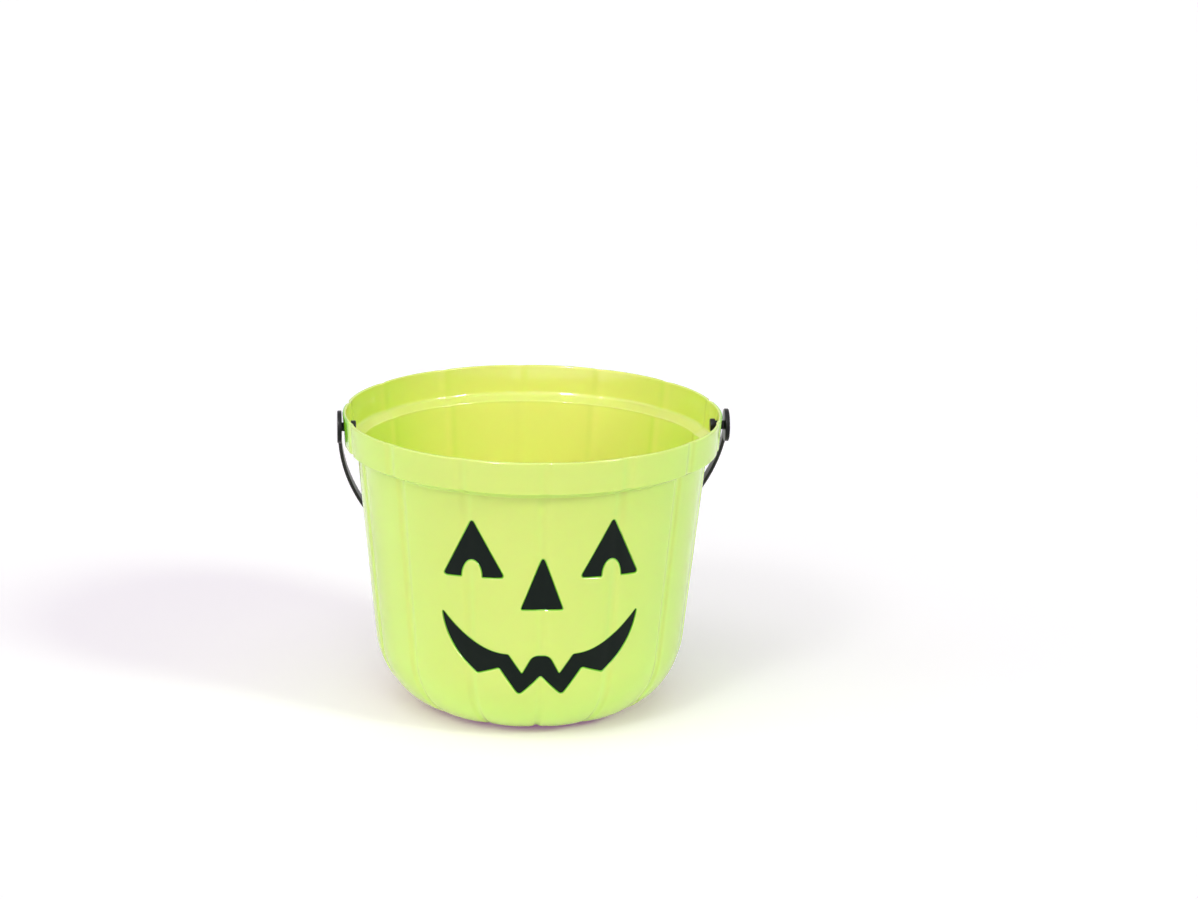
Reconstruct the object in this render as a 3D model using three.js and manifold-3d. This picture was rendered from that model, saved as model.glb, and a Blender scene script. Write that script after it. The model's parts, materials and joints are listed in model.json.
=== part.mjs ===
import * as THREE from 'three';
import { mergeVertices } from 'three/addons/utils/BufferGeometryUtils.js';
import Module from 'manifold-3d';

// A lobed treat pail with a sunk jack-o'-lantern face and a swinging bail.
// Millimetres, +Z up, the face looks along -Y, the origin is the centre of the base.

// Bucket shell, outside sizes
const bucketHeight = 172.3;
const rimRadius = 109;
const bandHeight = 18.4;
const bandTaper = 1.5;
const shoulderWidth = 6.9;
const shoulderDrop = 3.5;
const bodyDraft = 0.103;
const cornerWidth = 43.2;
const cornerHeight = 46.4;
const wallThickness = 2;
const lipEase = 0.6;

// Lobes: shallow grooves from the rim to the base, one of them in the middle of the face
const lobeCount = 14;
const grooveDepth = 0.9;
const grooveHalfWidth = 5.5;
const lobeCrown = 0.6;
const grooveFade = 0.25;

// Bail
const pivotDrop = 8.3;
const bailReach = 146;
const bailLegRadius = 213;
const bailSideGap = 1.1;
const bailRestGap = 0.3;
const strapThickness = 2;
const strapWidth = 5;
const discRadius = 9.4;
const discProud = 0.4;
const discEase = 0.6;
const pinRadius = 2.55;
const pinClearance = 0.35;
const headRadius = 3.7;
const headLength = 2.9;
const headEase = 1.3;
const headPlay = 1.6;

// Face: every outline is seen from the front, x sideways and z up
const recessDepth = 1;
const paintGap = 0.3;
const paintThickness = 0.3;

const eyeApexX = 39.6;
const eyeApexZ = 135.3;
const eyeInnerX = 21.3;
const eyeInnerZ = 101.8;
const eyeOuterX = 54.4;
const eyeOuterZ = 100;
const eyeArchX = 39;
const eyeArchHalfWidth = 5.8;
const eyeArchHeight = 10.3;
const eyeEase = 2.6;

const noseApexZ = 115.3;
const noseBaseZ = 83.1;
const noseHalfWidth = 11.4;
const noseApexEase = 4.4;
const noseFootEase = 0.9;

const grinTipX = 54.4;
const grinTipZ = 77.8;
const grinBrowX = 18.4;
const grinBrowZ = 55.3;
const grinJowlX = 35;
const grinJowlZ = 42.9;
const grinBrowBend = { x: 36.5, z: 55.4 };
const grinJowlBend = { x: 52, z: 57.3 };
const lipNotchX = 23.2;
const lipNotchZ = 47.4;
const fangX = 12;
const fangZ = 30.8;
const chinZ = 43;
const toothTipX = 10.5;
const toothTipZ = 43.4;
const toothGapX = 4.6;
const toothGapZ = 54.7;
const grinEase = 1.6;
const grinTipEase = 0.6;
const toothGapEase = 3.2;
const fangEase = 2.4;

// How finely curves are cut
const stepsPerLobe = 8;
const stepCrowding = 1.6;
const cornerSteps = 9;
const grinSteps = 7;
const archSteps = 10;
const easeSteps = 3;
const roundSides = 28;
const strapSteps = 22;
const restSearchSteps = 40;
const weldDistance = 1e-4;
const shortestEdge = 0.05;

// Heights and radii that follow from the sizes above
const bandBottomHeight = bucketHeight - bandHeight;
const bandBottomRadius = rimRadius - bandTaper;
const bodyTopHeight = bandBottomHeight - shoulderDrop;
const bodyTopRadius = bandBottomRadius - shoulderWidth;
const pivotHeight = bucketHeight - pivotDrop;
const bandRadiusAtPivot = rimRadius - (bandTaper * pivotDrop) / bandHeight;
const strapInnerX = rimRadius + bailSideGap;
const strapOuterX = strapInnerX + strapThickness;
const discOuterX = strapOuterX + discProud;

const wasm = await Module();
wasm.setup();

// Geometry to solid and back, for joins and cuts
function toSolid(geometry) {
  const bare = geometry.clone();
  bare.deleteAttribute('normal');
  bare.deleteAttribute('uv');
  const merged = mergeVertices(bare, weldDistance);
  const index = merged.index.array;
  const triangles = [];
  for (let i = 0; i < index.length; i += 3) {
    const [a, b, c] = [index[i], index[i + 1], index[i + 2]];
    if (a !== b && b !== c && c !== a) {
      triangles.push(a, b, c);
    }
  }
  return new wasm.Manifold(new wasm.Mesh({
    numProp: 3,
    vertProperties: Float32Array.from(merged.attributes.position.array),
    triVerts: Uint32Array.from(triangles),
  }));
}

function toGeometry(solid) {
  const mesh = solid.getMesh();
  const geometry = new THREE.BufferGeometry();
  geometry.setAttribute('position', new THREE.BufferAttribute(mesh.vertProperties, 3));
  geometry.setIndex(new THREE.BufferAttribute(mesh.triVerts, 1));
  geometry.computeVertexNormals();
  return geometry;
}

// The rounded corner between base and wall is a quarter of an ellipse, cut off where it meets the
// leaning wall
const cornerEnd = -Math.atan((bodyDraft * cornerHeight) / cornerWidth);
const cornerTopHeight = cornerHeight * (1 + Math.sin(cornerEnd));
const cornerTopRadius = bodyTopRadius - bodyDraft * (bodyTopHeight - cornerTopHeight);
const baseRadius = cornerTopRadius - cornerWidth * Math.cos(cornerEnd);

function bodyRadiusAt(height) {
  if (height >= cornerTopHeight) {
    return bodyTopRadius - bodyDraft * (bodyTopHeight - height);
  }
  const drop = 1 - Math.max(height, 0) / cornerHeight;
  return baseRadius + cornerWidth * Math.sqrt(1 - drop * drop);
}

// Outside profile from the axis up to the rim. Each point holds the direction in which a groove
// sinks it: inward on the wall, along the surface's own normal round the corner, not at all on the
// base. Low in the corner, where the normal's sideways part is under grooveFade, the groove runs out.
function outerProfile() {
  const points = [
    { r: 0, z: 0, sinkR: 0, sinkZ: 0 },
    { r: baseRadius, z: 0, sinkR: 0, sinkZ: 0 },
  ];
  for (let i = 1; i <= cornerSteps; i += 1) {
    const angle = -Math.PI / 2 + ((cornerEnd + Math.PI / 2) * i) / cornerSteps;
    const normal = new THREE.Vector2(Math.cos(angle) / cornerWidth, Math.sin(angle) / cornerHeight);
    normal.normalize();
    const share = Math.min(1, normal.x / grooveFade);
    points.push({
      r: baseRadius + cornerWidth * Math.cos(angle),
      z: cornerHeight * (1 + Math.sin(angle)),
      sinkR: -normal.x * share,
      sinkZ: -normal.y * share,
    });
  }
  points.push({ r: bodyTopRadius, z: bodyTopHeight, sinkR: -1, sinkZ: 0 });
  points.push({ r: bandBottomRadius, z: bandBottomHeight, sinkR: -1, sinkZ: 0 });
  points.push({ r: rimRadius, z: bucketHeight, sinkR: -1, sinkZ: 0 });
  return points;
}

// The same profile moved inward by an even depth
function insetProfile(depth) {
  const outer = outerProfile();
  return outer.map((point, i) => {
    const before = outer[Math.max(i - 1, 0)];
    const after = outer[Math.min(i + 1, outer.length - 1)];
    const normalBefore = new THREE.Vector2(point.z - before.z, before.r - point.r);
    const normalAfter = new THREE.Vector2(after.z - point.z, point.r - after.r);
    if (i === 0) {
      return { ...point, z: depth };
    }
    if (i === outer.length - 1) {
      return { ...point, r: point.r - depth };
    }
    normalBefore.normalize();
    normalAfter.normalize();
    const reach = depth / (1 + normalBefore.dot(normalAfter));
    return {
      ...point,
      r: point.r - (normalBefore.x + normalAfter.x) * reach,
      z: point.z - (normalBefore.y + normalAfter.y) * reach,
    };
  });
}

// How far the surface is sunk at one angle: a rounded groove, and lobes that crown between grooves
function sinkAt(angle) {
  const pitch = (2 * Math.PI) / lobeCount;
  const offGroove = Math.abs(angle - pitch * Math.round(angle / pitch));
  const acrossGroove = Math.min(1, (offGroove * rimRadius) / grooveHalfWidth);
  const acrossLobe = Math.min(1, (2 * offGroove) / pitch);
  const groove = (1 + Math.cos(Math.PI * acrossGroove)) / 2;
  return grooveDepth * groove + lobeCrown * (1 - acrossLobe) ** 2;
}

// Steps round the bucket crowd toward each groove
function stepAngle(step) {
  const pitch = (2 * Math.PI) / lobeCount;
  const nearest = Math.round(step / stepsPerLobe);
  const offset = step / stepsPerLobe - nearest;
  const crowded = 0.5 * Math.sign(offset) * Math.abs(2 * offset) ** stepCrowding;
  return pitch * (nearest + crowded);
}

function lobedGeometry(profile) {
  const steps = lobeCount * stepsPerLobe;
  const geometry = new THREE.LatheGeometry(profile.map((p) => new THREE.Vector2(p.r, p.z)), steps);
  const position = geometry.attributes.position;
  for (let i = 0; i <= steps; i += 1) {
    const angle = stepAngle(i % steps);
    const sink = sinkAt(angle);
    profile.forEach((point, j) => {
      const radius = Math.max(0, point.r + point.sinkR * sink);
      const height = point.z + point.sinkZ * sink;
      position.setXYZ(i * profile.length + j, radius * Math.sin(angle), -radius * Math.cos(angle), height);
    });
  }
  return geometry;
}

// A full body whose surface lies at an even depth under the bucket's outside
function bodyAtDepth(depth) {
  const profile = insetProfile(depth);
  profile.push({ r: 0, z: bucketHeight, sinkR: 0, sinkZ: 0 });
  return toSolid(lobedGeometry(profile));
}

// An outline with eased corners, from points that each hold x, z and ease
function easedShape(corners) {
  const shape = new THREE.Shape();
  corners.forEach((corner, i) => {
    const point = new THREE.Vector2(corner.x, corner.z);
    const previous = corners[(i + corners.length - 1) % corners.length];
    const next = corners[(i + 1) % corners.length];
    const toPrevious = new THREE.Vector2(previous.x, previous.z).sub(point);
    const toNext = new THREE.Vector2(next.x, next.z).sub(point);
    const ease = Math.min(corner.ease, toPrevious.length() / 2, toNext.length() / 2);
    const start = toPrevious.setLength(ease).add(point);
    const end = toNext.setLength(ease).add(point);
    if (i === 0) {
      shape.moveTo(start.x, start.y);
    } else {
      shape.lineTo(start.x, start.y);
    }
    if (ease > 0) {
      shape.quadraticCurveTo(point.x, point.y, end.x, end.y);
    }
  });
  shape.closePath();
  return shape;
}

function mirrored(corners) {
  return corners.map((corner) => ({ ...corner, x: -corner.x })).reverse();
}

// The outline's points moved inward, for the paint that stops short of the recess's edge. A point
// whose edge would turn round, in a tight corner, is left out.
function insetPoints(points, gap) {
  const sense = THREE.ShapeUtils.isClockWise(points) ? -1 : 1;
  const edgeTo = (list, i) => list[i % list.length].clone().sub(list.at((i % list.length) - 1));
  const moved = points.map((point, i) => {
    const before = edgeTo(points, i).normalize();
    const after = edgeTo(points, i + 1).normalize();
    const normal = new THREE.Vector2(-before.y - after.y, before.x + after.x).multiplyScalar(sense);
    return point.clone().add(normal.multiplyScalar(gap / (1 + before.dot(after))));
  });
  const kept = points.filter((point, i) => edgeTo(points, i).dot(edgeTo(moved, i)) > 0);
  return kept.length === points.length ? moved : insetPoints(kept, gap);
}

function prism(points) {
  const shape = new THREE.Shape(points);
  const geometry = new THREE.ExtrudeGeometry(shape, { depth: 2 * rimRadius, bevelEnabled: false });
  geometry.rotateX(Math.PI / 2);
  return toSolid(geometry);
}

function outlinePoints(corners) {
  const points = easedShape(corners).extractPoints(easeSteps).shape;
  return points.filter((point, i) => point.distanceTo(points.at(i - 1)) > shortestEdge);
}

// A triangle on two feet, with a half-round arch between them
function eyeCorners() {
  const footHeight = (x) => {
    const share = (x - eyeInnerX) / (eyeOuterX - eyeInnerX);
    return eyeInnerZ + (eyeOuterZ - eyeInnerZ) * share;
  };
  const corners = [
    { x: eyeApexX, z: eyeApexZ, ease: eyeEase },
    { x: eyeInnerX, z: eyeInnerZ, ease: eyeEase },
  ];
  for (let i = 0; i <= archSteps; i += 1) {
    const angle = Math.PI * (1 - i / archSteps);
    const x = eyeArchX + eyeArchHalfWidth * Math.cos(angle);
    corners.push({ x, z: footHeight(x) + eyeArchHeight * Math.sin(angle), ease: 0 });
  }
  corners.push({ x: eyeOuterX, z: eyeOuterZ, ease: eyeEase });
  return corners;
}

function noseCorners() {
  return [
    { x: 0, z: noseApexZ, ease: noseApexEase },
    { x: -noseHalfWidth, z: noseBaseZ, ease: noseFootEase },
    { x: noseHalfWidth, z: noseBaseZ, ease: noseFootEase },
  ];
}

// A wide grin with two teeth above and two fangs below, drawn for one side and mirrored
function grinSide(start, bend, end) {
  const curve = new THREE.QuadraticBezierCurve(
    new THREE.Vector2(start.x, start.z),
    new THREE.Vector2(bend.x, bend.z),
    new THREE.Vector2(end.x, end.z),
  );
  return curve.getPoints(grinSteps).slice(1, -1).map((point) => ({ x: point.x, z: point.y, ease: 0 }));
}

function mouthCorners() {
  const tip = { x: grinTipX, z: grinTipZ, ease: grinTipEase };
  const brow = { x: grinBrowX, z: grinBrowZ, ease: grinEase };
  const jowl = { x: grinJowlX, z: grinJowlZ, ease: grinEase };
  const half = [
    { x: toothGapX, z: toothGapZ, ease: toothGapEase },
    { x: toothTipX, z: toothTipZ, ease: grinEase },
    brow,
    ...grinSide(brow, grinBrowBend, tip),
    tip,
    ...grinSide(tip, grinJowlBend, jowl),
    jowl,
    { x: lipNotchX, z: lipNotchZ, ease: grinEase },
    { x: fangX, z: fangZ, ease: fangEase },
  ];
  return [...half, { x: 0, z: chinZ, ease: grinEase }, ...mirrored(half)];
}

const faceOutlines = {
  left_eye: outlinePoints(mirrored(eyeCorners())),
  right_eye: outlinePoints(eyeCorners()),
  nose: outlinePoints(noseCorners()),
  mouth: outlinePoints(mouthCorners()),
};

const recessFloor = bodyAtDepth(recessDepth);
const paintBack = bodyAtDepth(recessDepth - paintGap);
const paintFront = bodyAtDepth(recessDepth - paintGap - paintThickness);

// One moulding: wall, band and base, with the face sunk into it and a pin hole at each side
function bucketShell() {
  const outer = outerProfile();
  const rim = outer.pop();
  const inner = insetProfile(wallThickness);
  const innerRim = inner.pop();
  const profile = [
    ...outer,
    { ...rim, z: rim.z - lipEase },
    { ...rim, r: rim.r - lipEase },
    { ...innerRim, r: innerRim.r + lipEase },
    { ...innerRim, z: innerRim.z - lipEase },
    ...inner.reverse(),
  ];
  let shell = toSolid(lobedGeometry(profile));
  for (const points of Object.values(faceOutlines)) {
    shell = shell.subtract(prism(points).subtract(recessFloor));
  }
  const holeRadius = pinRadius + pinClearance;
  const hole = new THREE.CylinderGeometry(holeRadius, holeRadius, 2 * discOuterX, roundSides);
  hole.rotateZ(Math.PI / 2);
  hole.translate(0, 0, pivotHeight);
  return toGeometry(shell.subtract(toSolid(hole)));
}

function facePaint(points) {
  const block = prism(insetPoints(points, paintGap));
  return toGeometry(block.intersect(paintFront).subtract(paintBack));
}

// The bail is drawn flat, with the pivot axis along x and the grip at y = bailReach. Each leg is a
// wide arc centred on the pivot axis, and the grip is the arc that runs on from both legs.
function bailStrap() {
  const legCentre = bailLegRadius - strapOuterX;
  const spare = bailLegRadius - bailReach;
  const gripRadius = (bailLegRadius ** 2 - bailReach ** 2 - legCentre ** 2) / (2 * spare);
  const gripCentre = bailReach - gripRadius;
  const turn = Math.atan2(gripCentre, legCentre);
  const shape = new THREE.Shape();
  shape.absarc(-legCentre, 0, bailLegRadius, 0, turn, false);
  shape.absarc(0, gripCentre, gripRadius, turn, Math.PI - turn, false);
  shape.absarc(legCentre, 0, bailLegRadius, Math.PI - turn, Math.PI, false);
  shape.absarc(legCentre, 0, bailLegRadius - strapThickness, Math.PI, Math.PI - turn, true);
  shape.absarc(0, gripCentre, gripRadius - strapThickness, Math.PI - turn, turn, true);
  shape.absarc(-legCentre, 0, bailLegRadius - strapThickness, turn, 0, true);
  const geometry = new THREE.ExtrudeGeometry(shape, {
    depth: strapWidth,
    bevelEnabled: false,
    curveSegments: strapSteps,
  });
  geometry.translate(0, 0, -strapWidth / 2);
  return toSolid(geometry);
}

// Disc, pin and retaining head at one end, turned about the pivot axis
function bailEnd(side) {
  const shoulderX = bandRadiusAtPivot - wallThickness - headPlay;
  const tipX = shoulderX - headLength;
  const profile = [
    [0, tipX],
    [headRadius - headEase, tipX],
    [headRadius, tipX + headEase],
    [headRadius, shoulderX],
    [pinRadius, shoulderX],
    [pinRadius, strapInnerX],
    [discRadius - discEase, strapInnerX],
    [discRadius, strapInnerX + discEase],
    [discRadius, discOuterX - discEase],
    [discRadius - discEase, discOuterX],
    [0, discOuterX],
  ];
  const geometry = new THREE.LatheGeometry(profile.map(([r, x]) => new THREE.Vector2(r, x)), roundSides);
  geometry.rotateZ((-side * Math.PI) / 2);
  return toSolid(geometry);
}

function bail() {
  return toGeometry(bailStrap().add(bailEnd(1)).add(bailEnd(-1)));
}

// The bail hangs behind the bucket, where the grip's near edge comes to rest against the wall.
// The angle is measured down from level.
function restAngle() {
  const reach = bailReach - strapThickness;
  const gapAt = (angle) => {
    const y = reach * Math.cos(angle) - (strapWidth / 2) * Math.sin(angle);
    const z = pivotHeight - reach * Math.sin(angle) - (strapWidth / 2) * Math.cos(angle);
    return y - bodyRadiusAt(z) - bailRestGap;
  };
  let clear = 0;
  let touching = Math.PI / 2;
  for (let i = 0; i < restSearchSteps; i += 1) {
    const middle = (clear + touching) / 2;
    if (gapAt(middle) > 0) {
      clear = middle;
    } else {
      touching = middle;
    }
  }
  return clear;
}

const limePlastic = new THREE.MeshStandardMaterial({ color: 0xd6ef7e, roughness: 0.35, metalness: 0 });
const blackPlastic = new THREE.MeshStandardMaterial({ color: 0x1c2022, roughness: 0.4, metalness: 0 });
const blackPaint = new THREE.MeshStandardMaterial({ color: 0x1d2624, roughness: 0.55, metalness: 0 });

const bucket = new THREE.Group();

const shellMesh = new THREE.Mesh(bucketShell(), limePlastic);
shellMesh.name = 'bucket_shell';
bucket.add(shellMesh);

for (const [name, points] of Object.entries(faceOutlines)) {
  const paint = new THREE.Mesh(facePaint(points), blackPaint);
  paint.name = name;
  bucket.add(paint);
}

const handleMesh = new THREE.Mesh(bail(), blackPlastic);
handleMesh.name = 'handle';
handleMesh.position.set(0, 0, pivotHeight);
handleMesh.rotation.x = -restAngle();
bucket.add(handleMesh);

export default bucket;
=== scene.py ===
import bmesh
import bpy
import json
import math
import numpy as np
from mathutils import Matrix, Vector, geometry

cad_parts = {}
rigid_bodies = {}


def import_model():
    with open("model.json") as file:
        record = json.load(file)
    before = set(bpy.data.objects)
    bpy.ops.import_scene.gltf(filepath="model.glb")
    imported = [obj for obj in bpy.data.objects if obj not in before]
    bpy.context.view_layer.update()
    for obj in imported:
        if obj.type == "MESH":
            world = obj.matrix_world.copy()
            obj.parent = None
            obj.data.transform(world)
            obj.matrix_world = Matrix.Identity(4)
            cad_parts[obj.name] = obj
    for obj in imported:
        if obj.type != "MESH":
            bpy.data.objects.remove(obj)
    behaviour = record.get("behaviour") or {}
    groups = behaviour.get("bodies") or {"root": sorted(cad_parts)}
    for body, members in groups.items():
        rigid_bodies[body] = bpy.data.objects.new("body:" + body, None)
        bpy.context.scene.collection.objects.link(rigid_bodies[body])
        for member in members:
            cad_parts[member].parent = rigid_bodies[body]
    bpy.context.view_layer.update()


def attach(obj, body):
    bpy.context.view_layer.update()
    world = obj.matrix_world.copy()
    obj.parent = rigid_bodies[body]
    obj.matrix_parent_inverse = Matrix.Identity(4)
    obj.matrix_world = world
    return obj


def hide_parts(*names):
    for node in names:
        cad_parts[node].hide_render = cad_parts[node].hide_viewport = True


for startObject in list(bpy.data.objects):
    bpy.data.objects.remove(startObject)

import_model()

mm = 0.001


# The photograph's view. Distances in metres, angles in radians.
photoView = {
    "pixelsWide": 1198,
    "focalPixels": 4044.5,
    "sensorWidth": 36.0,
    "aim": Vector((0.0384, 0.0, 0.15058)),
    "distance": 2.3252,
    "elevation": 0.2732,
    "bucketTurn": 0.0898,
    "roll": 0.0183,
}


def makeCamera(view):
    turn = Matrix.Rotation(-view["bucketTurn"], 3, "Z")
    aim = turn @ view["aim"]
    back = turn @ Vector((0, -math.cos(view["elevation"]), math.sin(view["elevation"])))
    data = bpy.data.cameras.new("photoCamera")
    data.sensor_width = view["sensorWidth"]
    data.lens = view["focalPixels"] * view["sensorWidth"] / view["pixelsWide"]
    camera = bpy.data.objects.new("photoCamera", data)
    camera.location = aim + back * view["distance"]
    facing = back.to_track_quat("Z", "Y").to_matrix()
    camera.rotation_euler = (facing @ Matrix.Rotation(view["roll"], 3, "Z")).to_euler()
    bpy.context.scene.collection.objects.link(camera)
    bpy.context.scene.camera = camera


makeCamera(photoView)
print("camera placed")


# The bucket, in mm; radii and heights are outside sizes
bucket = {
    "height": 172.3,
    "rimRadius": 109.0,
    "bandHeight": 18.4,
    "bandTaper": 1.5,
    "shoulderWidth": 6.9,
    "shoulderDrop": 3.5,
    "draft": 0.103,
    "cornerWidth": 43.2,
    "cornerHeight": 46.4,
    "wall": 2.0,
    "lipRound": 0.8,
    "bandEdgeRound": 0.7,
    "shoulderRound": 1.2,
    "ledgeEdgeRound": 0.6,
    "ledgeHeadRound": 2.8,
    "ledgeFootOut": 0.6,
    "ledgeFootUp": 0.7,
    "lobes": 14,
    "grooveDepth": 0.75,
    "grooveFloor": 0.8,
    "grooveSide": 3.8,
    "lobeCrown": 0.6,
    "grooveFade": 0.33,  # towards the base, grooves fade below this outward share of the normal
    "insideGroove": 0.4,  # depth inside as a share of the depth outside
    "pinHoleRadius": 2.9,
    "pivotDrop": 8.3,
}

# How finely the shell is cut
shellCut = {
    "stepsPerLobe": 36,
    "crowding": 1.5,
    "cornerRows": 26,
    "wallRows": 12,
    "bandRows": 4,
    "roundRows": 5,
    "baseRows": 3,
    "holeSides": 48,
    "holeProud": 5.0,
    "weldDistance": 0.01,
    "sharpAngle": 50,
}

bandBottom = bucket["height"] - bucket["bandHeight"]
bandBottomRadius = bucket["rimRadius"] - bucket["bandTaper"]
bodyTop = bandBottom - bucket["shoulderDrop"]
bodyTopRadius = bandBottomRadius - bucket["shoulderWidth"]
cornerEnd = -math.atan(bucket["draft"] * bucket["cornerHeight"] / bucket["cornerWidth"])
cornerTop = bucket["cornerHeight"] * (1 + math.sin(cornerEnd))
cornerTopRadius = bodyTopRadius - bucket["draft"] * (bodyTop - cornerTop)
baseRadius = cornerTopRadius - bucket["cornerWidth"] * math.cos(cornerEnd)
pivotHeight = bucket["height"] - bucket["pivotDrop"]


# A profile point holds radius, height, and how far out and up the surface moves per mm of sink
def cornerPoint(share, depth=0.0):
    angle = -math.pi / 2 + (cornerEnd + math.pi / 2) * share
    out = math.cos(angle) / bucket["cornerWidth"]
    up = math.sin(angle) / bucket["cornerHeight"]
    length = math.hypot(out, up)
    out, up = out / length, up / length
    fade = min(1.0, out / bucket["grooveFade"])
    radius = baseRadius + bucket["cornerWidth"] * math.cos(angle) - out * depth
    height = bucket["cornerHeight"] * (1 + math.sin(angle)) - up * depth
    return (radius, height, -out * fade, -up * fade)


# A polyline whose inner corners are rounded; each corner holds radius, height and rounding
def roundedLine(corners, rows):
    points = []
    for i, (radius, height, rounding) in enumerate(corners):
        here = Vector((radius, height))
        if i in (0, len(corners) - 1) or rounding == 0:
            points.append(here)
            continue
        before = (Vector(corners[i - 1][:2]) - here).normalized()
        after = (Vector(corners[i + 1][:2]) - here).normalized()
        half = before.angle(after) / 2
        reach = rounding / math.tan(half)
        centre = here + (before + after).normalized() * rounding / math.sin(half)
        start = here + before * reach - centre
        end = here + after * reach - centre
        sweep = start.angle_signed(end)
        for step in range(rows + 1):
            points.append(centre + Matrix.Rotation(-sweep * step / rows, 2) @ start)
    return points


def spread(start, end, rows):
    return [start.lerp(end, row / rows) for row in range(1, rows)]


# From the middle of the base up the outside, over the lip and down the inside
def shellProfile():
    wall = bucket["wall"]
    slope = Vector((bucket["shoulderWidth"], bucket["shoulderDrop"])).normalized()
    ledgeFoot = bodyTop + wall * math.tan(math.atan2(slope.x, slope.y) / 2)
    ledgeHead = bandBottom + wall * math.tan(math.atan2(slope.x, slope.y) / 2)
    bandLean = bucket["bandTaper"] / bucket["bandHeight"]
    outerBand = [
        (cornerTopRadius, cornerTop, 0),
        (bodyTopRadius, bodyTop, bucket["shoulderRound"]),
        (bandBottomRadius, bandBottom, bucket["bandEdgeRound"]),
        (bucket["rimRadius"], bucket["height"], bucket["lipRound"]),
        (bucket["rimRadius"] - wall, bucket["height"], bucket["lipRound"]),
        (bandBottomRadius - wall + bandLean * (ledgeHead - bandBottom), ledgeHead,
         bucket["ledgeHeadRound"]),
        (bodyTopRadius - wall + bucket["draft"] * (ledgeFoot - bodyTop) + bucket["ledgeFootOut"],
         ledgeFoot + bucket["ledgeFootUp"], bucket["ledgeEdgeRound"]),
        (cornerPoint(1, wall)[0], cornerPoint(1, wall)[1], 0),
    ]
    line = roundedLine(outerBand, shellCut["roundRows"])
    rounds = shellCut["roundRows"] + 1
    wallLine = spread(line[0], line[1], shellCut["wallRows"])
    bandLine = spread(line[2 * rounds], line[2 * rounds + 1], shellCut["bandRows"])
    innerWall = spread(line[-2], line[-1], shellCut["wallRows"])
    straight = [(p.x, p.y, -1.0, 0.0) for p in wallLine + line[1:2 * rounds + 1] + bandLine
                + line[2 * rounds + 1:-1] + innerWall]
    corner = [cornerPoint(i / shellCut["cornerRows"]) for i in range(shellCut["cornerRows"] + 1)]
    innerCorner = [cornerPoint(i / shellCut["cornerRows"], wall) for i in range(shellCut["cornerRows"] + 1)]
    base = [(baseRadius * i / shellCut["baseRows"], 0.0, 0.0, 0.0) for i in range(shellCut["baseRows"])]
    floor = [(radius, wall, 0.0, 0.0) for radius, _, _, _ in base]
    return base + corner + straight + innerCorner[::-1] + floor[::-1]


profile = shellProfile()
print("profile rows", len(profile))


def mathNode(tree, operation, *values):
    node = tree.nodes.new("ShaderNodeMath")
    node.operation = operation
    for slot, value in zip(node.inputs, values):
        if isinstance(value, bpy.types.NodeSocket):
            tree.links.new(value, slot)
        else:
            slot.default_value = value
    return node.outputs[0]


def newTree(name, kind, inputs, outputs):
    tree = bpy.data.node_groups.new(name, kind)
    for socketName, socketKind in inputs:
        tree.interface.new_socket(name=socketName, in_out="INPUT", socket_type="NodeSocket" + socketKind)
    for socketName, socketKind in outputs:
        tree.interface.new_socket(name=socketName, in_out="OUTPUT", socket_type="NodeSocket" + socketKind)
    entry = tree.nodes.new("NodeGroupInput")
    leave = tree.nodes.new("NodeGroupOutput")
    return tree, entry.outputs, leave.inputs


def nodeHelpers(tree):
    def add(kind, **settings):
        node = tree.nodes.new(kind)
        for key, value in settings.items():
            setattr(node, key, value)
        return node

    def join(source, target):
        tree.links.new(source, target)

    return add, join


# A shape tree ends smooth, real and in one finish
def endTree(tree, shape, material, leave):
    add, join = nodeHelpers(tree)
    smooth = add("GeometryNodeSetShadeSmooth")
    join(shape, smooth.inputs["Geometry"])
    real = add("GeometryNodeRealizeInstances")
    join(smooth.outputs[0], real.inputs[0])
    finish = add("GeometryNodeSetMaterial")
    join(real.outputs[0], finish.inputs["Geometry"])
    join(material, finish.inputs["Material"])
    join(finish.outputs[0], leave)
    return tree


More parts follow.
